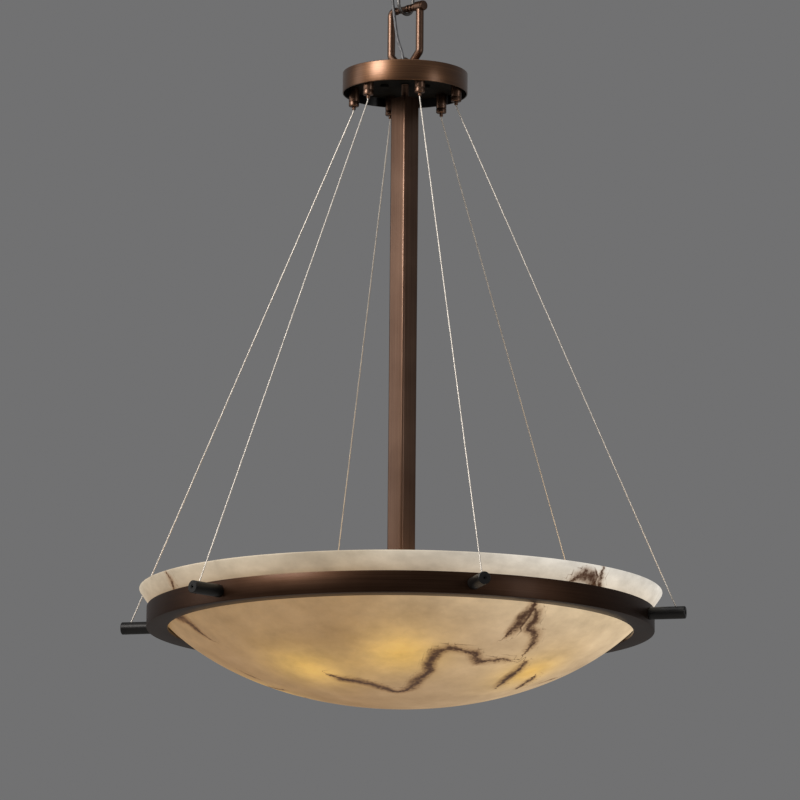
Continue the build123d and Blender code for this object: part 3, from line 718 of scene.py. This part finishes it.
stud_head = hub_top - hub_sheet
plate_stud = turned(
    "plate_stud",
    [(0.0, stud_foot), (stud_radius, stud_foot), (stud_radius, stud_head), (0.0, stud_head)],
    sides=32,
    closed=True,
)
soften(plate_stud, 0.0002, 2)
studs = joined("hanging_studs", copies(plate_stud, stud_circle, stud_turns))
place_piece(studs, "pendant", "steel", zinc, "plate_studs")
knob_foot = plate_bottom - knob_height
plate_knob = turned(
    "plate_knob",
    [
        (0.0, knob_foot),
        (knob_radius - knob_edge, knob_foot),
        (knob_radius, knob_foot + knob_edge),
        (knob_radius, plate_bottom),
        (stud_radius, plate_bottom),
        (stud_radius, stud_foot),
        (0.0, stud_foot),
    ],
    sides=48,
    closed=True,
)
soften(plate_knob, 0.0002, 2)
low_knobs = joined("low_knobs", copies(plate_knob, stud_circle, stud_turns))
place_piece(low_knobs, "pendant", "black", recess_shade_black, "plate_knobs")

# ---- Cable grippers -----------------------------------------------------------------------------
# Turned bronze bodies screwed through the hub's plate, with a nut above it. A thin sprung plunger
# below each is pressed in to free its cable.
gripper_body = 0.00635
gripper_foot = -0.199
gripper_edge = 0.0008
gripper_groove, gripper_groove_level, gripper_groove_width = 0.0004, -0.1935, 0.001
gripper_top = -0.1682
plunger_hole = 0.00235
plunger_room = -0.1915
plunger_radius = 0.00225
plunger_bore = 0.0012
plunger_foot, plunger_top = -0.2032, -0.1938
plunger_edge = 0.0005
gripper_nut_flats, gripper_nut_height = 0.012, 0.003
gripper = turned(
    "gripper",
    [
        (plunger_hole, gripper_foot),
        (gripper_body - gripper_edge, gripper_foot),
        (gripper_body, gripper_foot + gripper_edge),
        (gripper_body, gripper_groove_level),
        (gripper_body - gripper_groove, gripper_groove_level),
        (gripper_body - gripper_groove, gripper_groove_level + gripper_groove_width),
        (gripper_body, gripper_groove_level + gripper_groove_width),
        (gripper_body, plate_bottom),
        (gripper_stud, plate_bottom),
        (gripper_stud, gripper_top),
        (plunger_bore, gripper_top),
        (plunger_bore, plunger_room),
        (plunger_hole, plunger_room),
        (plunger_hole, gripper_foot),
    ],
    sides=64,
    closed=True,
)
soften(gripper, 0.0002, 2)
gripper_bodies = joined("gripper_bodies", copies(gripper, gripper_circle, spokes))
place_piece(gripper_bodies, "pendant", "bronze", bronze_turned, "cable_grippers")
gripper_nut = hex_nut("gripper_nut", gripper_nut_flats, gripper_nut_height, gripper_stud, plate_top)
stud_nuts = joined("stud_nuts", copies(gripper_nut, gripper_circle, spokes))
place_piece(stud_nuts, "pendant", "steel", zinc, "gripper_nuts")
plunger = turned(
    "release_plunger",
    [
        (plunger_bore, plunger_foot),
        (plunger_radius - plunger_edge, plunger_foot),
        (plunger_radius, plunger_foot + plunger_edge),
        (plunger_radius, plunger_top),
        (plunger_bore, plunger_top),
        (plunger_bore, plunger_foot),
    ],
    sides=48,
    closed=True,
)
soften(plunger, 0.00015, 2)
for number, piece in enumerate(copies(plunger, gripper_circle, spokes), start=1):
    place_piece(piece, f"plunger_{number}", "bronze", bronze_turned, f"gripper_plunger_{number}")

# ---- Centre tube --------------------------------------------------------------------------------
# A square bronze tube down to the lamps, brushed along its length. A threaded pipe with a nut at
# each end hangs it a finger's width below the hub's plate.
bronze_long = bronze_finish("bronze_brushed_long", (900, 900, 5))
tube_top, tube_bottom = -0.1922, -0.8328
tube_side, tube_wall, tube_corner = 0.0254, 0.0016, 0.003
pipe_bore = 0.0034
pipe_head, pipe_foot = -0.1667, -0.2001
thread_pitch, thread_depth = 0.0017, 0.0004
pipe_nut_flats, pipe_nut_height = 0.016, 0.0045

blank()
bpy.ops.mesh.primitive_cube_add(size=1, location=(0, 0, (tube_top + tube_bottom) / 2),
                                scale=(tube_side, tube_side, tube_top - tube_bottom))
square_tube = bpy.context.object
square_tube.name = square_tube.data.name = "square_tube"
bpy.ops.object.transform_apply(location=True, rotation=True, scale=True)
bpy.ops.object.mode_set(mode="EDIT")
bpy.ops.mesh.select_mode(type="EDGE")
bpy.ops.mesh.select_all(action="DESELECT")
bpy.ops.object.mode_set(mode="OBJECT")
for edge in square_tube.data.edges:
    near, far = (square_tube.data.vertices[n].co for n in edge.vertices)
    edge.select = abs(near.z - far.z) > tube_side
bpy.ops.object.mode_set(mode="EDIT")
bpy.ops.mesh.bevel(offset=tube_corner, segments=8, affect="EDGES")
bpy.ops.mesh.select_mode(type="FACE")
bpy.ops.mesh.select_all(action="DESELECT")
bpy.ops.object.mode_set(mode="OBJECT")
for face in square_tube.data.polygons:
    face.select = face.normal.z < -0.9
bpy.ops.object.mode_set(mode="EDIT")
bpy.ops.mesh.delete(type="FACE")
bpy.ops.object.mode_set(mode="OBJECT")
bpy.ops.object.modifier_add(type="SOLIDIFY")
square_tube.modifiers[-1].thickness = tube_wall
square_tube.modifiers[-1].offset = -1.0
bpy.ops.object.modifier_apply(modifier=square_tube.modifiers[-1].name)
soften(square_tube, 0.0003, 2, angle=60)
drill(square_tube, (0, 0, tube_top), pipe_radius + plate_gap, drill_depth)
place_piece(square_tube, "pendant", "bronze", bronze_long, "centre_tube")

thread_count = int((plate_bottom - tube_top) / thread_pitch)
pipe_outline = [(pipe_bore, pipe_foot), (pipe_radius, pipe_foot), (pipe_radius, tube_top)]
for turn_number in range(thread_count):
    thread_level = tube_top + turn_number * thread_pitch
    pipe_outline += [(pipe_radius - thread_depth, thread_level + thread_pitch / 2),
                     (pipe_radius, thread_level + thread_pitch)]
pipe_outline += [(pipe_radius, pipe_head), (pipe_bore, pipe_head), (pipe_bore, pipe_foot)]
tube_pipe = turned("tube_pipe", pipe_outline, sides=64, closed=True)
place_piece(tube_pipe, "pendant", "bronze", bronze_turned, "tube_nipple")
pipe_nuts = [
    hex_nut("pipe_nut_upper", pipe_nut_flats, pipe_nut_height, pipe_radius, plate_top),
    hex_nut("pipe_nut_lower", pipe_nut_flats, pipe_nut_height, pipe_radius, tube_top - tube_wall - pipe_nut_height),
]
place_piece(joined("pipe_nuts", pipe_nuts), "pendant", "steel", zinc, "tube_nuts")

# ---- Support ring -------------------------------------------------------------------------------
# Rolled bronze angle: an upright band with a flange below that points inwards and carries the bowl.
# Its bronze is a darker copy of the hub's, as painted shade, and it is brushed round its length.
ring_radius = 0.3048
ring_bottom = -0.8478
ring_height = 0.0254
ring_flange = 0.0254
ring_wall = 0.0032
ring_sides = 288
ring_edge = 0.0006
ring_angle = turned(
    "ring_angle",
    [
        (ring_radius - ring_flange, ring_bottom),
        (ring_radius, ring_bottom),
        (ring_radius, ring_bottom + ring_height),
        (ring_radius - ring_wall, ring_bottom + ring_height),
        (ring_radius - ring_wall, ring_bottom + ring_wall),
        (ring_radius - ring_flange, ring_bottom + ring_wall),
        (ring_radius - ring_flange, ring_bottom),
    ],
    sides=ring_sides,
    closed=True,
)
soften(ring_angle, ring_edge, 2)
# Painted shade: the same bronze made darker, so that the ring shows darker than the hub.
shaded_ring_bronze = bronze_finish(
    "shaded_ring_bronze", (6, 6, 1500), dark=(0.03, 0.013, 0.0066), light=(0.082, 0.043, 0.026), rough=(0.36, 0.5), coat=0.08
)
place_piece(ring_angle, "pendant", "bronze", shaded_ring_bronze, "support_ring")

# ---- Ring pins ----------------------------------------------------------------------------------
# Black turned pins through the band, with a nut behind, a slanted hole for the cable and a grub
# screw in the end that clamps it.
black_steel = moulded_finish("black_steel", (0.007, 0.0065, 0.0065), (0.014, 0.013, 0.012), rough=(0.36, 0.48),
                             metallic=0.4)
for number in range(1, cable_count + 1):
    dress(black_steel, f"ring_pin_{number}")
dress(zinc, "pin_nuts")
dress(black_steel, "pin_grub_screws")

# ---- Bowl ---------------------------------------------------------------------------------------
# A turned bowl of translucent stone with brown veins and a rounded rim; its light from the lamps inside
# is a painted glow. It rests on a soft black ring.
bowl_bottom = -0.9378
bowl_rim = -0.7998
bowl_wall = 0.01
bowl_rim_edge = 0.0033
seat_reach = 0.2805
seat_level = -0.8416
bowl_rim_reach = 0.3148
bowl_segments = 360
bowl_rings = 150
lamp_count = 6

rim_rise = bowl_rim - bowl_bottom
seat_rise = seat_level - bowl_bottom
seat_share = (seat_reach / bowl_rim_reach) ** 2
bowl_depth = (seat_share * rim_rise**2 - seat_rise**2) / (2 * (seat_share * rim_rise - seat_rise))
bowl_width = bowl_rim_reach / sqrt(2 * rim_rise / bowl_depth - (rim_rise / bowl_depth) ** 2)
bowl_centre = bowl_bottom + bowl_depth

blank()
bpy.ops.mesh.primitive_uv_sphere_add(
    segments=bowl_segments, ring_count=bowl_rings, radius=1.0, location=(0, 0, bowl_centre),
    scale=(bowl_width, bowl_width, bowl_depth),
)
stone_bowl = bpy.context.object
stone_bowl.name = "stone_bowl"
bpy.ops.object.transform_apply(location=True, rotation=True, scale=True)
bpy.ops.object.mode_set(mode="EDIT")
bpy.ops.mesh.select_all(action="SELECT")
bpy.ops.mesh.bisect(plane_co=(0, 0, bowl_rim), plane_no=(0, 0, 1), clear_outer=True)
bpy.ops.object.mode_set(mode="OBJECT")
bpy.ops.object.modifier_add(type="SOLIDIFY")
stone_bowl.modifiers[-1].thickness = bowl_wall
stone_bowl.modifiers[-1].offset = -1.0
bpy.ops.object.modifier_apply(modifier=stone_bowl.modifiers[-1].name)
for vertex in stone_bowl.data.vertices:
    vertex.co.z = min(vertex.co.z, bowl_rim)
soften(stone_bowl, bowl_rim_edge, 4)

# Veins, each as (photo column, photo row, half width in millimetres) at its bends, for the side that
# the photograph shows. The far side has the same run turned half round.
photo_side = 800
vein_marks = [
    [(328, 674, 0.4), (340, 679, 2.6), (357, 681, 3.2), (370, 684, 2.8), (383, 688, 2.6), (397, 692, 1.6),
     (412, 688, 2.4), (417, 680, 3.4), (428, 672, 2.8), (430, 662, 3.2), (437, 652, 3.6), (448, 648, 2.2),
     (463, 650, 1.6), (473, 653, 2.2), (478, 662, 2.8), (490, 661, 1.8), (502, 660, 1.4), (512, 662, 0.3)],
    [(536, 600, 1.6), (530, 611, 3.0), (523, 617, 4.6), (518, 625, 4.2), (510, 633, 1.8), (505, 637, 0.3)],
    [(537, 612, 2.8), (533, 622, 3.6), (528, 628, 2.4), (537, 635, 1.8), (533, 643, 1.8), (524, 655, 0.4)],
    [(524, 662, 0.8), (517, 671, 3.0), (507, 678, 4.0), (497, 687, 0.8)],
    [(533, 677, 0.6), (527, 682, 2.2), (518, 688, 0.6)],
    [(175, 617, 1.2), (185, 619, 4.2), (192, 625, 2.8), (201, 633, 1.8), (212, 640, 0.4)],
    [(243, 672, 0.3), (251, 676, 1.3), (261, 680, 0.3)],
    [(165, 571, 0.4), (170, 579, 1.4), (175, 591, 0.6)],
    [(569, 583, 0.6), (577, 577, 2.2), (585, 574, 3.4), (592, 578, 4.2), (597, 586, 3.0), (600, 594, 0.6)],
    [(603, 568, 0.5), (600, 576, 1.6), (598, 584, 1.0)],
]
vein_reach = 0.013
vein_weight = 1.35
vein_wander, vein_jag = 0.016, 0.0105
# Painted light: glow_marks are the hot spots where the lamps light the stone most.
glow_marks = [(307, 668), (402, 653), (530, 672)]
glow_spread = 0.05
# Painted light: the glow grows paler towards the viewer's right, about this middle and over this run.
side_glow_middle = 0.075
side_glow_run = 0.26

focal_pixels = camera_lens / camera_sensor * photo_side
bowl_axes = Vector((bowl_width, bowl_width, bowl_depth))
bowl_middle = Vector((0, 0, bowl_centre))


def on_stone(column, row):
    """The point of the bowl's outside that a pixel of the photograph shows."""
    sight = ahead + camera_right * ((column - photo_side / 2) / focal_pixels)
    sight += camera_up * ((photo_side / 2 - row) / focal_pixels)
    origin = Vector(a / b for a, b in zip(camera_place - bowl_middle, bowl_axes))
    ray = Vector(a / b for a, b in zip(sight, bowl_axes))
    half = origin.dot(ray)
    root = sqrt(max(half**2 - ray.length_squared * (origin.length_squared - 1), 0.0))
    return camera_place + sight * ((-half - root) / ray.length_squared)


def write_attribute(mesh, name, values):
    """Stores one number for each point of a mesh."""
    mesh.attributes.new(name, "FLOAT", "POINT").data.foreach_set("value", values.astype(np.float32))


near_veins = [
    [(on_stone(column, row), vein_weight * half / 1000) for column, row, half in marks] for marks in vein_marks
]
far_veins = [[(Vector((-place.x, -place.y, place.z)), half) for place, half in vein] for vein in near_veins]
places = np.array([vertex.co[:] for vertex in stone_bowl.data.vertices])
middle, axes = np.array(bowl_middle), np.array(bowl_axes)
skin = (places - middle) / axes
skin = skin / np.linalg.norm(skin, axis=1)[:, None] * axes + middle
least = np.full(len(skin), vein_reach)
offset, half_width = np.full(len(skin), vein_reach), np.zeros(len(skin))
for vein in near_veins + far_veins:
    for (start, start_half), (end, end_half) in zip(vein, vein[1:]):
        run = np.array(end - start)
        share = np.clip((skin - np.array(start)) @ run / (run @ run), 0, 1)
        away = skin - (np.array(start) + share[:, None] * run)
        distance = np.linalg.norm(away, axis=1)
        side = np.sign(np.einsum("ij,ij->i", np.cross(run, skin - middle), away))
        nearer = distance < least
        least = np.where(nearer, distance, least)
        offset = np.where(nearer, side * distance, offset)
        half_width = np.where(nearer, start_half + share * (end_half - start_half), half_width)
glow = np.zeros(len(skin))
for mark in glow_marks:
    for half_turn in (1, -1):
        lit = np.array(on_stone(*mark)) * (half_turn, half_turn, 1)
        glow += np.exp(-(np.linalg.norm(skin - lit, axis=1) / glow_spread) ** 1.6)
# Painted light: a share that makes the glow paler towards the viewer's right.
tone = np.clip((places @ np.array(viewer_right) - side_glow_middle) / side_glow_run + 0.5, 0, 1)
write_attribute(stone_bowl.data, "vein_offset", offset)
write_attribute(stone_bowl.data, "vein_half", half_width)
write_attribute(stone_bowl.data, "vein_near", 1 - least / vein_reach)
write_attribute(stone_bowl.data, "lamp_glow", glow)
write_attribute(stone_bowl.data, "side_glow_share", tone)
# Painted shade: the glow darkens low down on the bowl, away from the lamps' hot spots.
low = np.clip((ring_bottom - places[:, 2]) / (0.45 * (ring_bottom - bowl_bottom)), 0, 1)
write_attribute(stone_bowl.data, "low_painted_shade", low * np.clip(1 - 1.5 * glow, 0, 1))
# Painted light: the rim above the ring gets its own greyer, paler glow.
above_ring = (places[:, 2] - ring_bottom) / (bowl_rim - ring_bottom)
write_attribute(stone_bowl.data, "rim_share", np.clip(above_ring, 0, 1))


def stored(nodes, name):
    """A number stored in the mesh."""
    attribute = nodes.new("ShaderNodeAttribute")
    attribute.attribute_name = name
    return attribute.outputs["Fac"]


def stone_finish():
    """Cloudy cream stone with ragged brown veins, and a painted glow for the lamps' light through it: amber where a
    lamp is near, paler to one side, darker low down.
    """
    material, nodes, links, shader = new_finish("veined_stone")
    place = nodes.new("ShaderNodeTexCoord").outputs["Object"]
    clouds = noise(nodes, links, place, 13, stretch=(1, 1, 1.7), detail=8.0, roughness=0.6)
    streaks = noise(nodes, links, place, 34, stretch=(1, 1, 2.4), detail=6.0, roughness=0.66)
    tone, rim = stored(nodes, "side_glow_share"), stored(nodes, "rim_share")
    wide = reckon(nodes, links, "SUBTRACT", noise(nodes, links, place, 55), 0.5)
    wide = reckon(nodes, links, "MULTIPLY", wide, vein_wander)
    fine = reckon(nodes, links, "SUBTRACT", noise(nodes, links, place, 290), 0.5)
    fine = reckon(nodes, links, "MULTIPLY", fine, vein_jag)
    bend = reckon(nodes, links, "ADD", reckon(nodes, links, "ADD", stored(nodes, "vein_offset"), wide), fine)
    share = reckon(nodes, links, "DIVIDE", reckon(nodes, links, "ABSOLUTE", bend),
                   reckon(nodes, links, "MAXIMUM", stored(nodes, "vein_half"), 0.00004))
    core = colours(nodes, links, reckon(nodes, links, "MULTIPLY", share, 0.4),
                   [(0.0, (1, 1, 1)), (0.26, (0.86, 0.86, 0.86)), (0.5, (0.36, 0.36, 0.36)), (1.0, (0, 0, 0))])
    fade = colours(nodes, links, stored(nodes, "vein_near"), [(0.0, (0, 0, 0)), (0.45, (1, 1, 1))])
    broken = noise(nodes, links, place, 130, detail=5.0)
    broken = colours(nodes, links, broken, [(0.3, (0.6, 0.6, 0.6)), (0.5, (1, 1, 1))])
    halo = reckon(nodes, links, "MULTIPLY", share, 0.15)
    halo = colours(nodes, links, halo, [(0.0, (1, 1, 1)), (0.4, (0.45, 0.45, 0.45)), (1.0, (0, 0, 0))])
    halo = reckon(nodes, links, "MULTIPLY", reckon(nodes, links, "MULTIPLY", halo, fade), 0.75)
    mask = reckon(nodes, links, "MULTIPLY", reckon(nodes, links, "MULTIPLY", core, fade), broken)
    cream_stops = [(0.3, (0.3, 0.245, 0.18)), (0.52, (0.38, 0.325, 0.25)), (0.75, (0.46, 0.41, 0.335))]
    cream = colours(nodes, links, clouds, cream_stops)
    cream = mixed(nodes, links, halo, cream, (0.2, 0.12, 0.06))
    links.new(mixed(nodes, links, mask, cream, (0.05, 0.021, 0.010)), shader.inputs["Base Color"])
    shader.inputs["Roughness"].default_value = 0.36
    # Painted light: the emission is a painted glow for the lamps' light through the stone, paler to one side, its own
    # over the rim, amber at the lamps' hot spots, darker low down and round the veins.
    lit = mixed(nodes, links, tone, (0.255, 0.138, 0.045), (0.575, 0.43, 0.26))
    lit = mixed(nodes, links, rim, lit, mixed(nodes, links, tone, (0.33, 0.275, 0.2), (0.585, 0.56, 0.51)))
    lit = mixed(nodes, links, stored(nodes, "lamp_glow"), lit, (0.62, 0.35, 0.05))
    broad, narrow = spread(nodes, links, clouds, 0.45, 1.5), spread(nodes, links, streaks, 0.72, 1.28)
    patches = reckon(nodes, links, "MULTIPLY", broad, narrow)
    lit = mixed(nodes, links, 1.0, lit, patches, "MULTIPLY")
    # Painted shade low on the bowl, away from the lamps.
    shade = reckon(nodes, links, "MULTIPLY", stored(nodes, "low_painted_shade"), 0.45)
    lit = mixed(nodes, links, shade, lit, (0.16, 0.06, 0.0))
    lit = mixed(nodes, links, halo, lit, (0.16, 0.065, 0.014))
    links.new(mixed(nodes, links, mask, lit, (0.032, 0.010, 0.0025)), shader.inputs["Emission Color"])
    shader.inputs["Emission Strength"].default_value = 1.0
    return material


veined_stone = stone_finish()
place_piece(stone_bowl, "bowl", "stone", veined_stone, "alabaster_bowl")
seat_rubber = moulded_finish("seat_rubber", (0.02, 0.02, 0.02), (0.035, 0.034, 0.033), rough=(0.7, 0.85))
dress(seat_rubber, "bowl_seat")

# ---- Lamps --------------------------------------------------------------------------------------
# A turned cluster at the tube's foot carries six nipples with glazed lampholders and frosted bulbs.
# Neither the photograph nor the main view shows them.
porcelain = moulded_finish("glazed_porcelain", (0.72, 0.7, 0.65), (0.8, 0.78, 0.73), rough=(0.12, 0.2), grain=200)
dress(bronze_turned, "lamp_cluster", "cluster_finial")
dress(zinc, "lamp_arms")
dress(porcelain, "lampholders")


def bulb_finish():
    """Frosted glass, lit warm from inside."""
    material, nodes, links, shader = new_finish("frosted_bulb")
    place = nodes.new("ShaderNodeTexCoord")
    frost = noise(nodes, links, place.outputs["Object"], 60)
    glass = colours(nodes, links, frost, [(0.3, (0.86, 0.82, 0.74)), (0.7, (0.92, 0.89, 0.82))])
    warm = colours(nodes, links, frost, [(0.3, (1.0, 0.72, 0.4)), (0.7, (1.0, 0.78, 0.48))])
    links.new(glass, shader.inputs["Base Color"])
    links.new(warm, shader.inputs["Emission Color"])
    shader.inputs["Emission Strength"].default_value = 2.0
    shader.inputs["Roughness"].default_value = 0.5
    return material


frosted_bulb = bulb_finish()
for number in range(1, lamp_count + 1):
    dress(frosted_bulb, f"bulb_{number}")

# ---- Floor and light ----------------------------------------------------------------------------
# A plain pale floor a room's height below, a soft light on the left, a weaker one on the right, and
# an even pale surround.
floor_level = -2.44
floor_half = 30.0
blank()
bpy.ops.mesh.primitive_plane_add(size=2 * floor_half, location=(0, 0, floor_level))
floor = bpy.context.object
floor.name = "floor"
floor_paint, *_, floor_shader = new_finish("floor_paint")
floor_shader.inputs["Base Color"].default_value = (0.62, 0.61, 0.59, 1.0)
floor_shader.inputs["Roughness"].default_value = 0.8
floor.data.materials.append(floor_paint)
floor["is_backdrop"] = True


def soft_light(name, bearing, away, level, size, power, colour=(1, 1, 1)):
    """A square soft light that faces the object, at a bearing to the viewer's right of the camera."""
    turn = camera_turn + radians(bearing)
    data = bpy.data.lights.new(name, "AREA")
    data.energy = power
    data.color = colour
    data.shape = "RECTANGLE"
    data.size, data.size_y = size
    light = bpy.data.objects.new(name, data)
    light.location = (away * sin(turn), -away * cos(turn), level)
    aim = Vector((0, 0, -0.6)) - light.location
    light.rotation_euler = aim.to_track_quat("-Z", "Y").to_euler()
    light.visible_camera = False
    bpy.context.scene.collection.objects.link(light)


soft_light("left_softbox", -52, 2.6, 0.75, (1.1, 1.0), 60, (1.0, 0.96, 0.92))
soft_light("left_edge", -92, 2.6, -0.2, (0.9, 2.2), 9, (1.0, 0.96, 0.92))
soft_light("right_softbox", 54, 2.8, -0.5, (0.7, 1.6), 9, (1.0, 0.98, 0.96))
soft_light("top_light", 0, 0.8, 1.9, (2.0, 2.0), 18)

world = bpy.data.worlds.new("surround")
world.use_nodes = True
world.node_tree.nodes["Background"].inputs["Color"].default_value = (0.75, 0.75, 0.76, 1.0)
world.node_tree.nodes["Background"].inputs["Strength"].default_value = 0.22
bpy.context.scene.world = world
bpy.context.scene.view_settings.view_transform = "Standard"

low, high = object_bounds()
